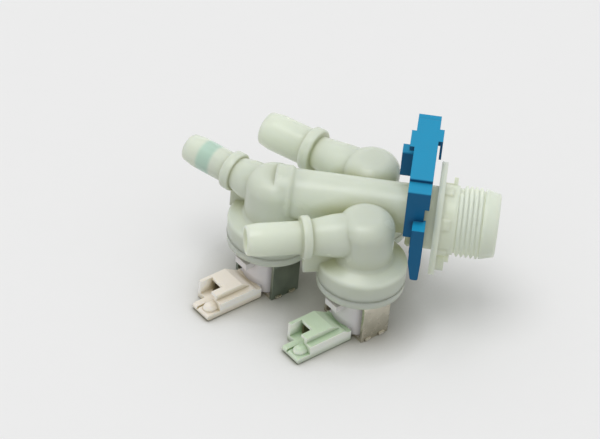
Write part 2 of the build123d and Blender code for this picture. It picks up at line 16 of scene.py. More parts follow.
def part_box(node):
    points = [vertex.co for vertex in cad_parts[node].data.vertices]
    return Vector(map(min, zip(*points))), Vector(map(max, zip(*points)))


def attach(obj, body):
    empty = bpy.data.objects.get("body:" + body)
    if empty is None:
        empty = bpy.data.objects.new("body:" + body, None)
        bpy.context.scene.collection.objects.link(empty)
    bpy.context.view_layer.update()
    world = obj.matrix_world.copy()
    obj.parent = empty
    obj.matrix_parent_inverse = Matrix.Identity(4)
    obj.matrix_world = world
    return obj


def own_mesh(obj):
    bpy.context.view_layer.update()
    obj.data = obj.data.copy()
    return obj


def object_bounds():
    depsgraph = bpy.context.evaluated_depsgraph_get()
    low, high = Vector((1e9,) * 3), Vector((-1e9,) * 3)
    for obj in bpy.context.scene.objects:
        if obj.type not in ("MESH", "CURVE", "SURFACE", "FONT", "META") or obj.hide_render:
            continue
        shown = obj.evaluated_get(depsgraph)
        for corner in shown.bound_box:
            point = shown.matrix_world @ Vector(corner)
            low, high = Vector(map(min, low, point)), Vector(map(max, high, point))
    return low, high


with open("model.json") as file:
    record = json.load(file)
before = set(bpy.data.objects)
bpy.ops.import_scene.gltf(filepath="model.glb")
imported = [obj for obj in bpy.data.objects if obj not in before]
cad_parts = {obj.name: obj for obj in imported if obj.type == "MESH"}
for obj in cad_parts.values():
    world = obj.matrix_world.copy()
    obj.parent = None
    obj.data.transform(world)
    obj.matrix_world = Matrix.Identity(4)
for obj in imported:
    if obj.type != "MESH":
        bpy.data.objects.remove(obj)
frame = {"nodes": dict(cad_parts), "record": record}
start_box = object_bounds()
nodes = frame["nodes"]
MM = 0.001
bpy.ops.object.select_all(action="DESELECT")
print("nodes:", len(nodes))
print("box:", [[round(v, 4) for v in corner] for corner in start_box], "m")


# %% [markdown]
# ## Shared shader helpers
#
# Colours are picked as they look on a screen, so they are turned into linear values first.
# A moulded part is never one flat colour: the melt flows and the mould is polished unevenly. Corners
# and creases are also painted darker and warmer: painted shade where less light reaches them. One node
# group gives all of these, and each material keeps its own Principled shader. The group works in object
# coordinates, so the grain stays on the part.

# %% Helpers for colours and nodes
def srgb(r, g, b):
    """A screen colour from 0 to 255 as a linear colour."""
    out = []
    for v in (r, g, b):
        v /= 255
        out.append(v / 12.92 if v <= 0.04045 else ((v + 0.055) / 1.055) ** 2.4)
    return (*out, 1.0)


def add(tree, kind, **sets):
    """A new node with its settings."""
    node = tree.nodes.new(kind)
    for key, value in sets.items():
        setattr(node, key, value)
    return node


def new_group(name, inputs, outputs):
    """An empty shader group with its sockets."""
    group = bpy.data.node_groups.new(name, "ShaderNodeTree")
    for label, kind, value in inputs:
        socket = group.interface.new_socket(name=label, in_out="INPUT", socket_type=kind)
        socket.default_value = value
    for label, kind in outputs:
        group.interface.new_socket(name=label, in_out="OUTPUT", socket_type=kind)
    return group, add(group, "NodeGroupInput"), add(group, "NodeGroupOutput")


def soft_step(tree, value, low, high):
    """A smooth share that is 0 where the value is low and 1 where it is high."""
    step = add(tree, "ShaderNodeMapRange", interpolation_type="SMOOTHSTEP")
    step.inputs["From Min"].default_value = low
    step.inputs["From Max"].default_value = high
    tree.links.new(value, step.inputs["Value"])
    return step.outputs["Result"]


def combine(tree, operation, *values):
    """One step of arithmetic on values that are sockets or numbers."""
    node = add(tree, "ShaderNodeMath", operation=operation)
    for socket, value in zip(node.inputs, values):
        if isinstance(value, float):
            socket.default_value = value
        else:
            tree.links.new(value, socket)
    return node.outputs[0]


pale_grey = (0.8, 0.8, 0.8, 1.0)
dark_grey = (0.4, 0.4, 0.4, 1.0)
bump_height = 0.1 * MM
surface_outputs = [("Colour", "NodeSocketColor"), ("Roughness", "NodeSocketFloat"), ("Normal", "NodeSocketVector")]


def make_moulded():
    """Colour drift, fine grain, painted shade in corners and soft edges of a moulded plastic part."""
    flow_scale, flow_detail = 90.0, 3.0
    grain_scale, grain_detail = 1400.0, 2.0
    corner_power = 1.5
    rough_swing = 0.18
    ins = [("Colour", "NodeSocketColor", pale_grey), ("Corner shade", "NodeSocketColor", dark_grey)]
    ins += [("Shade reach", "NodeSocketFloat", 4.0 * MM), ("Drift", "NodeSocketFloat", 0.08)]
    ins += [("Grain", "NodeSocketFloat", 0.05), ("Rough", "NodeSocketFloat", 0.4)]
    ins += [("Edge", "NodeSocketFloat", 0.3 * MM)]
    group, g_in, g_out = new_group("Moulded", ins, surface_outputs)
    link = group.links.new
    coord = add(group, "ShaderNodeTexCoord")
    flow = add(group, "ShaderNodeTexNoise")
    flow.inputs["Scale"].default_value = flow_scale
    flow.inputs["Detail"].default_value = flow_detail
    link(coord.outputs["Object"], flow.inputs["Vector"])
    fine = add(group, "ShaderNodeTexNoise")
    fine.inputs["Scale"].default_value = grain_scale
    fine.inputs["Detail"].default_value = grain_detail
    link(coord.outputs["Object"], fine.inputs["Vector"])
    shift = combine(group, "SUBTRACT", flow.outputs["Fac"], 0.5)
    drift = combine(group, "MULTIPLY_ADD", shift, g_in.outputs["Drift"], 1.0)
    # Painted shade: the ambient occlusion mask below mixes the corner shade colour into corners and creases.
    corner = add(group, "ShaderNodeAmbientOcclusion", samples=8)
    link(g_in.outputs["Shade reach"], corner.inputs["Distance"])
    open_air = combine(group, "POWER", corner.outputs["AO"], corner_power)
    depth = add(group, "ShaderNodeMix", data_type="RGBA")
    link(open_air, depth.inputs["Factor"])
    link(g_in.outputs["Corner shade"], depth.inputs["A"])
    link(g_in.outputs["Colour"], depth.inputs["B"])
    tint = add(group, "ShaderNodeVectorMath", operation="SCALE")
    link(depth.outputs["Result"], tint.inputs[0])
    link(drift, tint.inputs["Scale"])
    link(tint.outputs[0], g_out.inputs["Colour"])
    rough = combine(group, "MULTIPLY_ADD", shift, rough_swing, g_in.outputs["Rough"])
    link(rough, g_out.inputs["Roughness"])
    edge = add(group, "ShaderNodeBevel", samples=6)
    link(g_in.outputs["Edge"], edge.inputs["Radius"])
    bump = add(group, "ShaderNodeBump")
    bump.inputs["Distance"].default_value = bump_height
    link(g_in.outputs["Grain"], bump.inputs["Strength"])
    link(fine.outputs["Fac"], bump.inputs["Height"])
    link(edge.outputs["Normal"], bump.inputs["Normal"])
    link(bump.outputs["Normal"], g_out.inputs["Normal"])
    return group


def make_metal():
    """Pale and dark patches, uneven shine and soft edges of plated or turned metal."""
    patch_detail = 4.0
    patch_bump = 0.1
    rough_swing = 0.25
    ins = [("Light", "NodeSocketColor", pale_grey), ("Dark", "NodeSocketColor", dark_grey)]
    ins += [("Scale", "NodeSocketFloat", 260.0), ("Rough", "NodeSocketFloat", 0.35)]
    ins += [("Edge", "NodeSocketFloat", 0.2 * MM)]
    group, g_in, g_out = new_group("Plated", ins, surface_outputs)
    link = group.links.new
    coord = add(group, "ShaderNodeTexCoord")
    patch = add(group, "ShaderNodeTexNoise")
    patch.inputs["Detail"].default_value = patch_detail
    link(coord.outputs["Object"], patch.inputs["Vector"])
    link(g_in.outputs["Scale"], patch.inputs["Scale"])
    mix = add(group, "ShaderNodeMix", data_type="RGBA")
    link(patch.outputs["Fac"], mix.inputs["Factor"])
    link(g_in.outputs["Dark"], mix.inputs["A"])
    link(g_in.outputs["Light"], mix.inputs["B"])
    link(mix.outputs["Result"], g_out.inputs["Colour"])
    rough = combine(group, "MULTIPLY_ADD", patch.outputs["Fac"], rough_swing, g_in.outputs["Rough"])
    link(rough, g_out.inputs["Roughness"])
    edge = add(group, "ShaderNodeBevel", samples=4)
    link(g_in.outputs["Edge"], edge.inputs["Radius"])
    bump = add(group, "ShaderNodeBump")
    bump.inputs["Distance"].default_value = bump_height
    bump.inputs["Strength"].default_value = patch_bump
    link(patch.outputs["Fac"], bump.inputs["Height"])
    link(edge.outputs["Normal"], bump.inputs["Normal"])
    link(bump.outputs["Normal"], g_out.inputs["Normal"])
    return group


def make_side_paint():
    """Painted shade and light by facing: upright faces get a tint, faces that look up keep the plain colour."""
    side_level, top_level = 0.1, 0.9
    ins = [("Colour", "NodeSocketColor", pale_grey), ("Tint", "NodeSocketColor", (1.0, 1.0, 1.0, 1.0))]
    group, g_in, g_out = new_group("Upright", ins, [("Colour", "NodeSocketColor")])
    link = group.links.new
    coord = add(group, "ShaderNodeTexCoord")
    split = add(group, "ShaderNodeSeparateXYZ")
    link(coord.outputs["Normal"], split.inputs[0])
    level = soft_step(group, split.outputs["Z"], side_level, top_level)
    side = add(group, "ShaderNodeVectorMath", operation="MULTIPLY")
    link(g_in.outputs["Colour"], side.inputs[0])
    link(g_in.outputs["Tint"], side.inputs[1])
    mix = add(group, "ShaderNodeMix", data_type="RGBA")
    link(level, mix.inputs["Factor"])
    link(side.outputs["Vector"], mix.inputs["A"])
    link(g_in.outputs["Colour"], mix.inputs["B"])
    link(mix.outputs["Result"], g_out.inputs["Colour"])
    return group


moulded = make_moulded()
plated = make_metal()
upright = make_side_paint()
print("node groups:", moulded.name, plated.name, upright.name)


# %% [markdown]
# ## Materials
#
# The body is natural polypropylene: milky, slightly green, and light passes through thin walls,
# so its shader scatters light under the surface. Light that gets inside the hollow walls comes out
# again on the shaded side, and a faint painted glow of the same colour stands for that, because
# following it through every wall would take too long. The bracket is blue acetal, closed and slick.
# The yokes are zinc plated sheet, and the frame of the one at the end is painted darker: painted shade
# and a painted dark reflection for the front valve's shadow on it. The connectors are filled nylon in
# code colours, one per valve, so that a fitter can't swap the wires.

# %% Make the materials
plastic_ior = 1.49
scatter_by_colour = (1.0, 0.95, 0.75)


def plastic(
    name, colour, corner_shade, reach, rough, drift=0.08, grain=0.05, edge=0.3, scatter=0.0, depth=1.0, glow=0.0
):
    """A moulded plastic whose second colour is painted shade in its corners and whose glow is painted light;
    reach, edge and depth are in millimetres.
    """
    mat = bpy.data.materials.new(name)
    mat.use_nodes = True
    tree = mat.node_tree
    shader = tree.nodes["Principled BSDF"]
    group = add(tree, "ShaderNodeGroup", node_tree=moulded, name="Moulded")
    group.inputs["Colour"].default_value = srgb(*colour)
    group.inputs["Corner shade"].default_value = srgb(*corner_shade)
    group.inputs["Shade reach"].default_value = reach * MM
    group.inputs["Drift"].default_value = drift
    group.inputs["Grain"].default_value = grain
    group.inputs["Rough"].default_value = rough
    group.inputs["Edge"].default_value = edge * MM
    tree.links.new(group.outputs["Colour"], shader.inputs["Base Color"])
    tree.links.new(group.outputs["Roughness"], shader.inputs["Roughness"])
    tree.links.new(group.outputs["Normal"], shader.inputs["Normal"])
    if glow:
        tree.links.new(group.outputs["Colour"], shader.inputs["Emission Color"])
        shader.inputs["Emission Strength"].default_value = glow
    shader.inputs["IOR"].default_value = plastic_ior
    shader.inputs["Subsurface Weight"].default_value = scatter
    shader.inputs["Subsurface Scale"].default_value = depth * MM
    shader.inputs["Subsurface Radius"].default_value = scatter_by_colour
    return mat


def metal(name, light, dark, scale, rough, edge=0.2):
    """A plated or turned metal with patches between two colours; edge is in millimetres."""
    mat = bpy.data.materials.new(name)
    mat.use_nodes = True
    tree = mat.node_tree
    shader = tree.nodes["Principled BSDF"]
    group = add(tree, "ShaderNodeGroup", node_tree=plated)
    group.inputs["Light"].default_value = srgb(*light)
    group.inputs["Dark"].default_value = srgb(*dark)
    group.inputs["Scale"].default_value = scale
    group.inputs["Rough"].default_value = rough
    group.inputs["Edge"].default_value = edge * MM
    tree.links.new(group.outputs["Colour"], shader.inputs["Base Color"])
    tree.links.new(group.outputs["Roughness"], shader.inputs["Roughness"])
    tree.links.new(group.outputs["Normal"], shader.inputs["Normal"])
    shader.inputs["Metallic"].default_value = 1.0
    return mat


bracket_blue = (22, 149, 193)
mint = (192, 209, 184)
cream = (226, 219, 208)
waxy = {"grain": 0.03, "scatter": 1.0}
plug = {"reach": 3.5, "rough": 0.45, "scatter": 0.6, "depth": 2.0}
# In each plastic below the second colour is painted shade for its corners. Glow is painted light in the part's own
# colour: on the body it stands for light coming out of the hollow walls, on the plugs and coils it lifts their
# shaded sides.
materials = {
    "body_plastic": plastic(
        "Body plastic", (202, 209, 195), (158, 162, 122), 7.0, 0.24,
        drift=0.06, edge=2.6, depth=5.0, glow=0.19, **waxy,
    ),
    "thread_plastic": plastic(
        "Thread plastic", (205, 214, 193), (198, 204, 184), 1.0, 0.4,
        drift=0.05, edge=2.4, depth=6.0, glow=0.32, **waxy,
    ),
    "bracket_plastic": plastic(
        "Bracket plastic", bracket_blue, (4, 56, 92), 3.0, 0.5, drift=0.1, grain=0.04, edge=0.35
    ),
    "white_plastic": plastic(
        "White plastic", (226, 226, 218), (170, 170, 150), 4.0, 0.5, drift=0.06, edge=0.25, scatter=0.3
    ),
    "strainer_plastic": plastic(
        "Strainer plastic", (205, 210, 210), (140, 146, 146), 3.0, 0.5, grain=0.08, edge=0.15, scatter=0.2
    ),
    "teal_plastic": plastic("Teal plastic", (88, 176, 156), (40, 110, 96), 3.0, 0.45, edge=0.2, scatter=0.2),
    "mint_plastic": plastic("Mint plastic", mint, (90, 124, 70), glow=0.17, **plug),
    "cream_plastic": plastic("Cream plastic", cream, (150, 134, 94), drift=0.06, glow=0.16, **plug),
    "coil_plastic": plastic(
        "Coil plastic", (230, 227, 228), (166, 163, 162), 3.0, 0.48, grain=0.08, scatter=0.4, depth=1.5, glow=0.11
    ),
    "rubber": plastic("Rubber", (34, 34, 34), (16, 16, 16), 2.0, 0.75, drift=0.15, grain=0.15, edge=0.2),
    "plunger_iron": metal("Plunger iron", (178, 176, 172), (140, 138, 134), 400.0, 0.3),
    "spring_steel": metal("Spring steel", (190, 190, 190), (150, 150, 150), 600.0, 0.25, edge=0.1),
    "yoke_steel": metal("Yoke steel", (231, 224, 208), (181, 178, 164), 160.0, 0.16, edge=0.3),
    # A darker copy of the yoke steel: painted shade and a painted dark reflection for the front valve's shadow on
    # the end yoke.
    "yoke_shaded": metal("Shaded yoke steel", (170, 180, 168), (124, 136, 126), 160.0, 0.2, edge=0.3),
    "copper": metal("Copper wire", (198, 122, 78), (150, 84, 50), 900.0, 0.3),
    "terminal_brass": metal("Terminal brass", (150, 142, 118), (104, 98, 76), 500.0, 0.4),
}
print("materials:", len(materials))

# %% Paint the nodes
slots = {part["node"]: part["material_slot"] for part in frame["record"]["subparts"]}
# The end yoke's frame takes the darker copy of the steel: painted shade.
slots["end_yoke_frame"] = "yoke_shaded"
for name, obj in nodes.items():
    obj.data.materials.clear()
    obj.data.materials.append(materials[slots[name]])
print("nodes painted:", len(nodes))

# %% [markdown]
# ## The coloured nozzle behind the wall
#
# A teal flow nozzle sits inside the hose stub at the end, and its colour shows through the milky
# wall as a soft band. Real transmission through a thin moulding is slow to render, so the band
# is a tint in the body's own colour: how far a point lies along the stub picks the band, and how
# far it lies from the nozzle keeps the tint off the rest of the body.

# %% Tint the body where the nozzle sits
nozzle_low, nozzle_high = [Vector(corner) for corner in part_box("outlet_restrictor")]
nozzle_middle = (nozzle_low + nozzle_high) / 2
stubs = {mount["name"]: mount for mount in frame["record"]["mounts"] if mount["kind"] == "pin"}
nozzle_half = 2.9 * MM
nozzle_soft = 1.0 * MM
stub_reach = 7.5 * MM
nozzle_shows = 0.6
teal_tint = srgb(146, 188, 172)

tree = materials["body_plastic"].node_tree
link = tree.links.new
coord = add(tree, "ShaderNodeTexCoord")
offset = add(tree, "ShaderNodeVectorMath", operation="SUBTRACT")
offset.inputs[1].default_value = nozzle_middle
link(coord.outputs["Object"], offset.inputs[0])
along = add(tree, "ShaderNodeVectorMath", operation="DOT_PRODUCT")
along.inputs[1].default_value = stubs["end_outlet"]["axis"]
link(offset.outputs["Vector"], along.inputs[0])
away = combine(tree, "ABSOLUTE", along.outputs["Value"])
band = soft_step(tree, away, nozzle_half + nozzle_soft, nozzle_half - nozzle_soft)
span = add(tree, "ShaderNodeVectorMath", operation="LENGTH")
link(offset.outputs["Vector"], span.inputs[0])
near = combine(tree, "LESS_THAN", span.outputs["Value"], stub_reach + nozzle_half)
mask = combine(tree, "MULTIPLY", combine(tree, "MULTIPLY", band, nozzle_shows), near)
tinted = add(tree, "ShaderNodeMix", data_type="RGBA")
tinted.inputs["B"].default_value = teal_tint
link(mask, tinted.inputs["Factor"])
link(tree.nodes["Moulded"].outputs["Colour"], tinted.inputs["A"])
link(tinted.outputs["Result"], tree.nodes["Principled BSDF"].inputs["Base Color"])
print("nozzle band at", [round(v, 4) for v in nozzle_middle])

# %% [markdown]
# ## Light inside the hollow body
#
# Light gets into the open pipes and comes out again through their walls, so the inlet and the three hose
# stubs look brighter than the rest. The chambers hold rubber and iron that swallow light, so they look
# greyer. A gain on the painted glow stands for both: it grows along each pipe's axis, and it falls round
# each valve's axis and below the main tube. The painted corner shade at the inlet is paler too.

# %% Find the open pipes and the filled chambers
def from_axis(tree, place, point, axis):
    """How far a place lies along an axis through a point, and how far from the axis."""
    arm = add(tree, "ShaderNodeVectorMath", operation="SUBTRACT")
    arm.inputs[1].default_value = point
    tree.links.new(place, arm.inputs[0])
    ahead = add(tree, "ShaderNodeVectorMath", operation="DOT_PRODUCT")
    ahead.inputs[1].default_value = axis
    tree.links.new(arm.outputs["Vector"], ahead.inputs[0])
    turned = add(tree, "ShaderNodeVectorMath", operation="CROSS_PRODUCT")
    turned.inputs[1].default_value = axis
    tree.links.new(arm.outputs["Vector"], turned.inputs[0])
    aside = add(tree, "ShaderNodeVectorMath", operation="LENGTH")
    tree.links.new(turned.outputs["Vector"], aside.inputs[0])
    return ahead.outputs["Value"], aside.outputs["Value"]


inlet_from, inlet_to = -10.0 * MM, 2.0 * MM
stub_from, stub_to = -8.0 * MM, 6.0 * MM
stub_outside, stub_inside = 11.0 * MM, 9.0 * MM
dome_outside, dome_inside = 14.0 * MM, 9.0 * MM
chamber_top, chamber_low = -6.0 * MM, -12.0 * MM
where = add(tree, "ShaderNodeSeparateXYZ")
link(coord.outputs["Object"], where.inputs[0])
inlet_share = soft_step(tree, where.outputs["X"], inlet_from, inlet_to)
stub_share = 0.0
for mount in stubs.values():
    ahead, aside = from_axis(tree, coord.outputs["Object"], mount["pos_m"], mount["axis"])
    inside = soft_step(tree, aside, stub_outside, stub_inside)
    one_stub = combine(tree, "MULTIPLY", soft_step(tree, ahead, stub_from, stub_to), inside)
    stub_share = combine(tree, "MAXIMUM", one_stub, stub_share)
chamber_share = soft_step(tree, where.outputs["Z"], chamber_top, chamber_low)
upward = (0.0, 0.0, 1.0)
for valve in ("front", "rear", "end"):
    low, high = [Vector(corner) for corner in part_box(f"{valve}_bonnet")]
    ahead, aside = from_axis(tree, coord.outputs["Object"], (low + high) / 2, upward)
    one_dome = soft_step(tree, aside, dome_outside, dome_inside)
    chamber_share = combine(tree, "MAXIMUM", one_dome, chamber_share)
not_inlet = combine(tree, "SUBTRACT", 1.0, inlet_share)
chamber_share = combine(tree, "MULTIPLY", chamber_share, not_inlet)
print("open pipes:", 1 + len(stubs))

# %% Change the glow there
inlet_more = 0.6
stub_more = 0.45
chamber_less = -0.35
inlet_corner_shade = srgb(196, 200, 180)
# Painted light: the glow is raised in the pipes and lowered in the chambers.
gain = combine(tree, "MULTIPLY_ADD", inlet_share, inlet_more, 1.0)
gain = combine(tree, "MULTIPLY_ADD", stub_share, stub_more, gain)
gain = combine(tree, "MULTIPLY_ADD", chamber_share, chamber_less, gain)
lit = add(tree, "ShaderNodeVectorMath", operation="SCALE")
link(tinted.outputs["Result"], lit.inputs[0])
link(gain, lit.inputs["Scale"])
link(lit.outputs["Vector"], tree.nodes["Principled BSDF"].inputs["Emission Color"])
# Painted shade: near the inlet the corner shade colour turns paler.
corner = add(tree, "ShaderNodeMix", data_type="RGBA")
corner.inputs["A"].default_value = tree.nodes["Moulded"].inputs["Corner shade"].default_value
corner.inputs["B"].default_value = inlet_corner_shade
link(inlet_share, corner.inputs["Factor"])
link(corner.outputs["Result"], tree.nodes["Moulded"].inputs["Corner shade"])
print("glow: inlet", inlet_more, "stubs", stub_more, "chambers", chamber_less)

# %% [markdown]
# ## Painted shade and light on upright faces
#
# Light falls mostly from above, so upright faces are painted in a colour of their own: the bracket's
# upright faces a darker blue, as painted shade, and the plugs' ribbed sides paler, as painted light
# thrown up from the paper. One group does both.

# %% Paint shade and light on the upright faces
bracket_shine = 0.3
# Painted shade on the bracket's upright faces, painted light on the plugs' ribbed sides.
painted_side_colours = {
    "bracket_plastic": (bracket_blue, (14, 103, 150)),
    "mint_plastic": (mint, (234, 238, 230)),
    "cream_plastic": (cream, (250, 247, 240)),
}
for slot, (plain, side) in painted_side_colours.items():
    tree = materials[slot].node_tree
    shader = tree.nodes["Principled BSDF"]
    group = add(tree, "ShaderNodeGroup", node_tree=upright)
    group.inputs["Tint"].default_value = [b / a for a, b in zip(srgb(*plain), srgb(*side))]
    tree.links.new(tree.nodes["Moulded"].outputs["Colour"], group.inputs["Colour"])
    tree.links.new(group.outputs["Colour"], shader.inputs["Base Color"])
    if shader.inputs["Emission Color"].is_linked:
        tree.links.new(group.outputs["Colour"], shader.inputs["Emission Color"])
    print(slot, "tint on upright faces", [round(v, 2) for v in group.inputs["Tint"].default_value[:3]])
shader = materials["bracket_plastic"].node_tree.nodes["Principled BSDF"]
shader.inputs["Specular IOR Level"].default_value = bracket_shine

# %% [markdown]
# ## Light in the thread
#
# The waxy thread spreads light so far inside that its ridges hardly shade: in the photo they show only
# at the outline. So the thread is shaded mostly as the plain cylinder that it is cut on: the normal
# points away from the inlet's axis, with a small share of the real one. A painted glow grows towards
# the bottom of the thread: painted light that fills the shade between the ridges.

# %% Shade the thread as a cylinder
thread_smooth = 0.8
valley_glow = 2.0
thread_root = 12.0 * MM
thread_crest = 13.2 * MM
tree = materials["thread_plastic"].node_tree
shader = tree.nodes["Principled BSDF"]
link = tree.links.new
coord = add(tree, "ShaderNodeTexCoord")
outward = add(tree, "ShaderNodeVectorMath", operation="MULTIPLY")
across_inlet = (0.0, 1.0, 1.0)
outward.inputs[1].default_value = across_inlet
link(coord.outputs["Object"], outward.inputs[0])
radial = add(tree, "ShaderNodeVectorMath", operation="NORMALIZE")
link(outward.outputs["Vector"], radial.inputs[0])
shaded = add(tree, "ShaderNodeMix", data_type="VECTOR")
shaded.inputs["Factor"].default_value = thread_smooth
link(tree.nodes["Moulded"].outputs["Normal"], shaded.inputs["A"])
link(radial.outputs["Vector"], shaded.inputs["B"])
link(shaded.outputs["Result"], shader.inputs["Normal"])
shader.inputs["Specular IOR Level"].default_value = 0.0
reach = add(tree, "ShaderNodeVectorMath", operation="LENGTH")
link(outward.outputs["Vector"], reach.inputs[0])
# Painted light: the glow is stronger towards the root of the thread, filling the shade between ridges.
fill = add(tree, "ShaderNodeMapRange")
fill.inputs["From Min"].default_value = thread_root
fill.inputs["From Max"].default_value = thread_crest
fill.inputs["To Min"].default_value = valley_glow
fill.inputs["To Max"].default_value = 1.0
link(reach.outputs["Value"], fill.inputs["Value"])
filled = add(tree, "ShaderNodeVectorMath", operation="SCALE")
link(tree.nodes["Moulded"].outputs["Colour"], filled.inputs[0])
link(fill.outputs["Result"], filled.inputs["Scale"])
link(filled.outputs["Vector"], shader.inputs["Emission Color"])
print("thread shaded as a cylinder by", thread_smooth)

# %% [markdown]
# ## The hose thread
#
# The fill hose's union nut screws onto a 3/4 inch pipe thread with a pitch of 1.814 mm. In the CAD
# model this stretch is a plain root cylinder. The ridge is one tooth outline, carried round and
# along the axis by the Screw modifier, which is how the real thread is cut. Its two ends are sunk
# into the root so that it runs out softly, as a moulded thread does.

# %% Model the thread
thread_start = 8.7 * MM
thread_turns = 4.8
thread_pitch = 1.814 * MM
tooth_half_root = 0.907 * MM
tooth_half_crest = 0.22 * MM
thread_steps = 72

bpy.ops.object.select_all(action="DESELECT")
bpy.ops.mesh.primitive_plane_add(size=2.0, location=(0, 0, 0))
thread = bpy.context.active_object
thread.name = "inlet_thread"
bpy.ops.object.mode_set(mode="EDIT")
bpy.ops.mesh.select_all(action="SELECT")
bpy.ops.mesh.delete(type="ONLY_FACE")
bpy.ops.object.mode_set(mode="OBJECT")
for vert in thread.data.vertices:
    crest = vert.co.y > 0
    half = tooth_half_crest if crest else tooth_half_root
    side = 1 if vert.co.x > 0 else -1
    vert.co = (thread_start + side * half, 0, thread_crest if crest else thread_root)
screw = thread.modifiers.new("Screw", "SCREW")
screw.axis = "X"
screw.angle = 2 * pi * thread_turns
screw.screw_offset = thread_pitch * thread_turns
screw.iterations = 1
screw_steps = round(thread_steps * thread_turns)
screw.steps = screw_steps
screw.render_steps = screw_steps
screw.use_normal_calculate = True
bpy.ops.object.modifier_apply(modifier="Screw")
print("tooth outline carried through", screw_steps, "steps")

# %% Close and sink the ends of the thread
bpy.ops.object.mode_set(mode="EDIT")
bpy.ops.mesh.select_mode(type="EDGE")
bpy.ops.mesh.select_all(action="DESELECT")
bpy.ops.mesh.select_non_manifold()
bpy.ops.mesh.fill_holes(sides=4)
bpy.ops.mesh.select_all(action="SELECT")
bpy.ops.mesh.normals_make_consistent(inside=False)
bpy.ops.object.mode_set(mode="OBJECT")
run_out = thread_pitch * 0.35
lowest_share = 0.05
thread_end = thread_start + thread_pitch * thread_turns
for vert in thread.data.vertices:
    radius = (vert.co.y**2 + vert.co.z**2) ** 0.5
    from_start = vert.co.x - thread_start + tooth_half_root
    from_end = min(from_start, thread_end + tooth_half_root - vert.co.x)
    if radius > thread_root and from_end < run_out:
        keep = max(from_end / run_out, lowest_share)
        scale = (thread_root + (radius - thread_root) * keep) / radius
        vert.co.y *= scale
        vert.co.z *= scale
bpy.ops.object.shade_smooth_by_angle(angle=radians(35))
thread.data.materials.append(materials["thread_plastic"])
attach(thread, "valve")
print("thread faces:", len(thread.data.polygons), "turns:", thread_turns)

# %% [markdown]
# ## Weld beads round the chambers
#
# Each lower chamber half is welded to the body by rubbing the two rims together until they melt.
# A little plastic is squeezed out and stays as a soft bead round the joint. The bead is a small ring
# outline spun round the valve's axis. The axis and the height come from the lower half itself.

# %% Model the weld beads
bead_r = 0.22 * MM
bead_sunk = bead_r / 4
bead_merge = bead_r / 50
bead_sides = 10
bead_steps = 96
for valve in ("front", "rear", "end"):
    low, high = [Vector(corner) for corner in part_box(f"{valve}_bonnet")]
    middle = (low + high) / 2
    rim_r = (high.x - low.x) / 2
    bpy.ops.object.select_all(action="DESELECT")
    start = (middle.x + rim_r - bead_sunk, middle.y, high.z)
    bpy.ops.mesh.primitive_circle_add(vertices=bead_sides, radius=bead_r, location=(0, 0, 0))
    weld = bpy.context.active_object
    weld.name = f"{valve}_weld_bead"
    bpy.ops.object.mode_set(mode="EDIT")
    bpy.ops.mesh.select_all(action="SELECT")
    bpy.ops.transform.rotate(value=radians(90), orient_axis="X", center_override=(0, 0, 0))
    bpy.ops.transform.translate(value=start)
    bpy.ops.mesh.spin(steps=bead_steps, angle=2 * pi, center=(middle.x, middle.y, 0), axis=upward)
    bpy.ops.mesh.select_all(action="SELECT")
    bpy.ops.mesh.remove_doubles(threshold=bead_merge)
    bpy.ops.mesh.normals_make_consistent(inside=False)
    bpy.ops.object.mode_set(mode="OBJECT")
    bpy.ops.object.shade_smooth()
    weld.data.materials.append(materials["body_plastic"])
    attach(weld, "valve")
    print(weld.name, "radius", round(rim_r / MM, 2), "mm, faces", len(weld.data.polygons))

# %% [markdown]
# ## Stake marks on the yokes
#
# The base plate of each yoke has four tabs that reach through notches in the bent strip. A press
# splits each tab end with a chisel, and the metal spreads and locks the plate. A small block on the
# tab's end is bevelled, and its outer face is inset and pushed in to make the chisel's dent.

# %% Model the stake marks
stake_width = 2.9 * MM
stake_height = 0.9 * MM
stake_proud = 0.22 * MM
stake_edge = 0.12 * MM
stake_rim = 0.28 * MM
stake_dent = stake_proud * 0.8
facing_out = 0.99
tab_space = 6.4 * MM
plate_half = 11.3 * MM
plate_sheet = 1.2 * MM
plate_turns = {"front": radians(45), "rear": radians(-45), "end": radians(45)}
for valve, turn in plate_turns.items():
    low, high = [Vector(corner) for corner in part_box(f"{valve}_yoke_base")]
    middle = Vector(((low.x + high.x) / 2, (low.y + high.y) / 2, low.z + plate_sheet / 2))
    bpy.ops.object.select_all(action="DESELECT")
    marks = []
    for side in (-1, 1):
        for tab in (-1, 1):
            bpy.ops.mesh.primitive_cube_add(size=1.0, location=(0, 0, 0))
            mark = bpy.context.active_object
            bpy.ops.object.mode_set(mode="EDIT")
            bpy.ops.mesh.select_mode(type="FACE")
            bpy.ops.mesh.select_all(action="SELECT")
            bpy.ops.transform.resize(value=(stake_width, stake_proud * 2, stake_height))
            bpy.ops.mesh.bevel(offset=stake_edge, segments=2, affect="EDGES")
            bpy.ops.object.mode_set(mode="OBJECT")
            for face in mark.data.polygons:
                face.select = face.normal.y * side > facing_out
            bpy.ops.object.mode_set(mode="EDIT")
            bpy.ops.mesh.inset(thickness=stake_rim, depth=-stake_dent)
            bpy.ops.mesh.select_all(action="SELECT")
            bpy.ops.transform.translate(value=(tab * tab_space / 2, side * plate_half, 0))
            bpy.ops.object.mode_set(mode="OBJECT")
            marks.append(mark)
    for mark in marks:
        mark.select_set(True)
    bpy.context.view_layer.objects.active = marks[0]
    bpy.ops.object.join()
    stakes = bpy.context.active_object
    stakes.name = f"{valve}_stake_marks"
    bpy.ops.object.mode_set(mode="EDIT")
    bpy.ops.mesh.select_all(action="SELECT")
    bpy.ops.transform.rotate(value=-turn, orient_axis="Z", center_override=(0, 0, 0))
    bpy.ops.transform.translate(value=middle)
    bpy.ops.object.mode_set(mode="OBJECT")
    bpy.ops.object.shade_smooth_by_angle(angle=radians(30))
    stakes.data.materials.append(materials["yoke_steel"])
    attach(stakes, "valve")
    print(stakes.name, "faces", len(stakes.data.polygons))

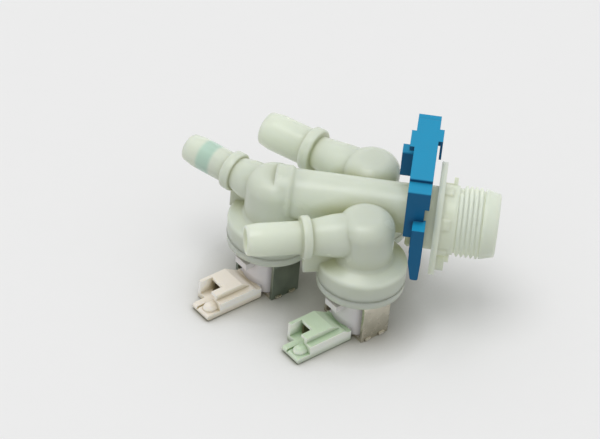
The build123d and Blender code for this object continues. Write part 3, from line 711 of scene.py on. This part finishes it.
# %% [markdown]
# ## The filter's mesh
#
# The cup in the inlet is only the filter's frame: a fine nylon mesh lies in its slots and stops
# grit. A cone just inside the frame's wall is divided into a net, and the Wireframe modifier turns
# each line of the net into a thread.

# %% Model the mesh
cup_low, cup_high = [Vector(corner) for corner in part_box("inlet_strainer")]
mesh_tip_r = 4.4 * MM
mesh_rim_r = 8.1 * MM
mesh_tip_gap = 0.6 * MM
mesh_rim_gap = 2.4 * MM
mesh_start = cup_low.x + mesh_tip_gap
mesh_end = cup_high.x - mesh_rim_gap
mesh_columns = 64
mesh_rows = 14
mesh_thread = 0.16 * MM
bpy.ops.object.select_all(action="DESELECT")
bpy.ops.mesh.primitive_cone_add(
    vertices=mesh_columns,
    radius1=mesh_tip_r,
    radius2=mesh_rim_r,
    depth=mesh_end - mesh_start,
    end_fill_type="NOTHING",
    location=(0, 0, 0),
)
net = bpy.context.active_object
net.name = "strainer_mesh"
bpy.ops.object.mode_set(mode="EDIT")
bpy.ops.mesh.select_all(action="DESELECT")
bpy.ops.mesh.select_mode(type="EDGE")
bpy.ops.object.mode_set(mode="OBJECT")
for edge in net.data.edges:
    first, second = [net.data.vertices[i].co for i in edge.vertices]
    edge.select = abs(first.z - second.z) > mesh_thread
bpy.ops.object.mode_set(mode="EDIT")
bpy.ops.mesh.subdivide(number_cuts=mesh_rows - 1)
bpy.ops.mesh.select_all(action="SELECT")
bpy.ops.transform.rotate(value=radians(-90), orient_axis="Y", center_override=(0, 0, 0))
bpy.ops.transform.translate(value=((mesh_start + mesh_end) / 2, 0, 0))
bpy.ops.object.mode_set(mode="OBJECT")
wires = net.modifiers.new("Threads", "WIREFRAME")
wires.thickness = mesh_thread
wires.use_even_offset = False
bpy.ops.object.modifier_apply(modifier="Threads")
net.data.materials.append(materials["strainer_plastic"])
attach(net, "valve")
tip_side = min(net.data.vertices, key=lambda vert: vert.co.x).co
print("mesh rows:", mesh_rows, "faces:", len(net.data.polygons))
print("radius at the inner end:", round(tip_side.yz.length / MM, 2), "mm")

# %% [markdown]
# ## How far the springs and diaphragms give way
#
# When a coil pulls its plunger down, the plunger squeezes the spring, and the rubber diaphragm sinks with
# its insert. The record says which end of each stays in place. Each piece gets its own mesh, and the
# share of its length along the valve's axis that it keeps at the joint's full travel is worked out and
# printed; the mesh itself is not shortened here.

# %% Give the springs and diaphragms their own meshes and work out their squash
for joint in frame["record"]["behaviour"]["joints"]:
    travel = max(abs(limit) for limit in joint["range_m"])
    for soft in joint["deforming_nodes"]:
        low, high = [Vector(corner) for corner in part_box(soft["node"])]
        middle = (low + high) / 2
        fixed = soft["fixed_end_z_m"]
        length = max(abs(high.z - fixed), abs(low.z - fixed))
        keep = 1 - travel / length
        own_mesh(nodes[soft["node"]])
        print(soft["node"], "length", round(length / MM, 2), "mm, keeps", round(keep, 3))

# %% [markdown]
# ## Floor, light and camera
#
# The photo was taken on pale paper under a wide soft light from above: tops are bright, upright faces
# are much darker, and a soft shadow falls to the right. So the sky of the set is bright overhead
# and dim near the horizon, and one far, very soft lamp gives the shadow's side. It stands nearly
# overhead, a little to the left and to the front.
# Reflections see a pale room, as the metal shows in the photo. The paper shows its pale colour
# to the camera and to reflections, and a greyer one to the light that it throws back.
# The camera is far away with a long lens: the three hose stubs hardly shrink with distance.
# It looks down by about 39 degrees and is held a little turned, so the main tube runs downhill.

# %% Floor
bpy.ops.object.select_all(action="DESELECT")
floor_size = 6.0
floor_height = start_box[0][2]
bpy.ops.mesh.primitive_plane_add(size=floor_size, location=(0, 0, floor_height))
floor = bpy.context.active_object
floor.name = "floor"
# The paper's second colour is a painted shadow: it darkens the paper within 22 mm of the parts above it.
paper = plastic("Floor paper", (240, 240, 240), (160, 158, 146), 22.0, 0.9, drift=0.01, grain=0.02, edge=0.0)
paper_bounce = srgb(165, 165, 162)


def seen_directly(tree):
    """A value that is 1 on camera, glossy and transmission rays, and 0 on light that bounces."""
    path = add(tree, "ShaderNodeLightPath")
    glossy = combine(tree, "MAXIMUM", path.outputs["Is Camera Ray"], path.outputs["Is Glossy Ray"])
    return combine(tree, "MAXIMUM", glossy, path.outputs["Is Transmission Ray"])


tree = paper.node_tree
sheet = add(tree, "ShaderNodeMix", data_type="RGBA")
sheet.inputs["A"].default_value = paper_bounce
tree.links.new(seen_directly(tree), sheet.inputs["Factor"])
tree.links.new(tree.nodes["Moulded"].outputs["Colour"], sheet.inputs["B"])
tree.links.new(sheet.outputs["Result"], tree.nodes["Principled BSDF"].inputs["Base Color"])
tree.nodes["Principled BSDF"].inputs["Specular IOR Level"].default_value = 0.0
floor.data.materials.append(paper)
print("floor at", round(floor_height, 4), "m")

# %% Sky of the set
sky_horizon = 0.26
sky_zenith = 0.92
sky_reflected = 0.8
world = bpy.data.worlds.new("Studio")
bpy.context.scene.world = world
world.use_nodes = True
tree = world.node_tree
coord = add(tree, "ShaderNodeTexCoord")
split = add(tree, "ShaderNodeSeparateXYZ")
tree.links.new(coord.outputs["Generated"], split.inputs[0])
height = add(tree, "ShaderNodeMapRange")
height.inputs["To Min"].default_value = sky_horizon
height.inputs["To Max"].default_value = sky_zenith
tree.links.new(split.outputs["Z"], height.inputs["Value"])
level = add(tree, "ShaderNodeMix", data_type="FLOAT")
level.inputs["B"].default_value = sky_reflected
tree.links.new(seen_directly(tree), level.inputs["Factor"])
tree.links.new(height.outputs["Result"], level.inputs["A"])
tree.nodes["Background"].inputs["Color"].default_value = (1.0, 1.0, 1.0, 1.0)
tree.links.new(level.outputs["Result"], tree.nodes["Background"].inputs["Strength"])
print("sky from", sky_horizon, "to", sky_zenith)

# %% Soft lamp
lamp_towards = Vector((0.20, 0.10, -0.97))
lamp_strength = 0.85
lamp_spread = 36.0
lamp_data = bpy.data.lights.new("key", "SUN")
lamp_data.energy = lamp_strength
lamp_data.angle = radians(lamp_spread)
lamp = bpy.data.objects.new("key", lamp_data)
bpy.context.scene.collection.objects.link(lamp)
lamp.rotation_mode = "QUATERNION"
lamp.rotation_quaternion = lamp_towards.to_track_quat("-Z", "Y")
print("lamp strength", lamp_strength, "spread", lamp_spread, "degrees")

# %% Camera
camera_place = Vector((-0.7393, -857.287, 699.951)) * MM
camera_aim = Vector((-49.218, -6.303, -4.207)) * MM
camera_roll = 5.533
camera_lens = 180.0
camera_sensor = 36.0
camera_data = bpy.data.cameras.new("camera")
camera_data.lens = camera_lens
camera_data.sensor_width = camera_sensor
camera = bpy.data.objects.new("camera", camera_data)
bpy.context.scene.collection.objects.link(camera)
camera.location = camera_place
camera.rotation_mode = "QUATERNION"
facing = (camera_aim - camera_place).to_track_quat("-Z", "Y")
camera.rotation_quaternion = facing @ Quaternion((0, 0, 1), radians(camera_roll))
bpy.context.scene.camera = camera
bpy.context.scene.view_settings.view_transform = "Standard"
print("camera distance:", round((camera_aim - camera_place).length, 3), "m")
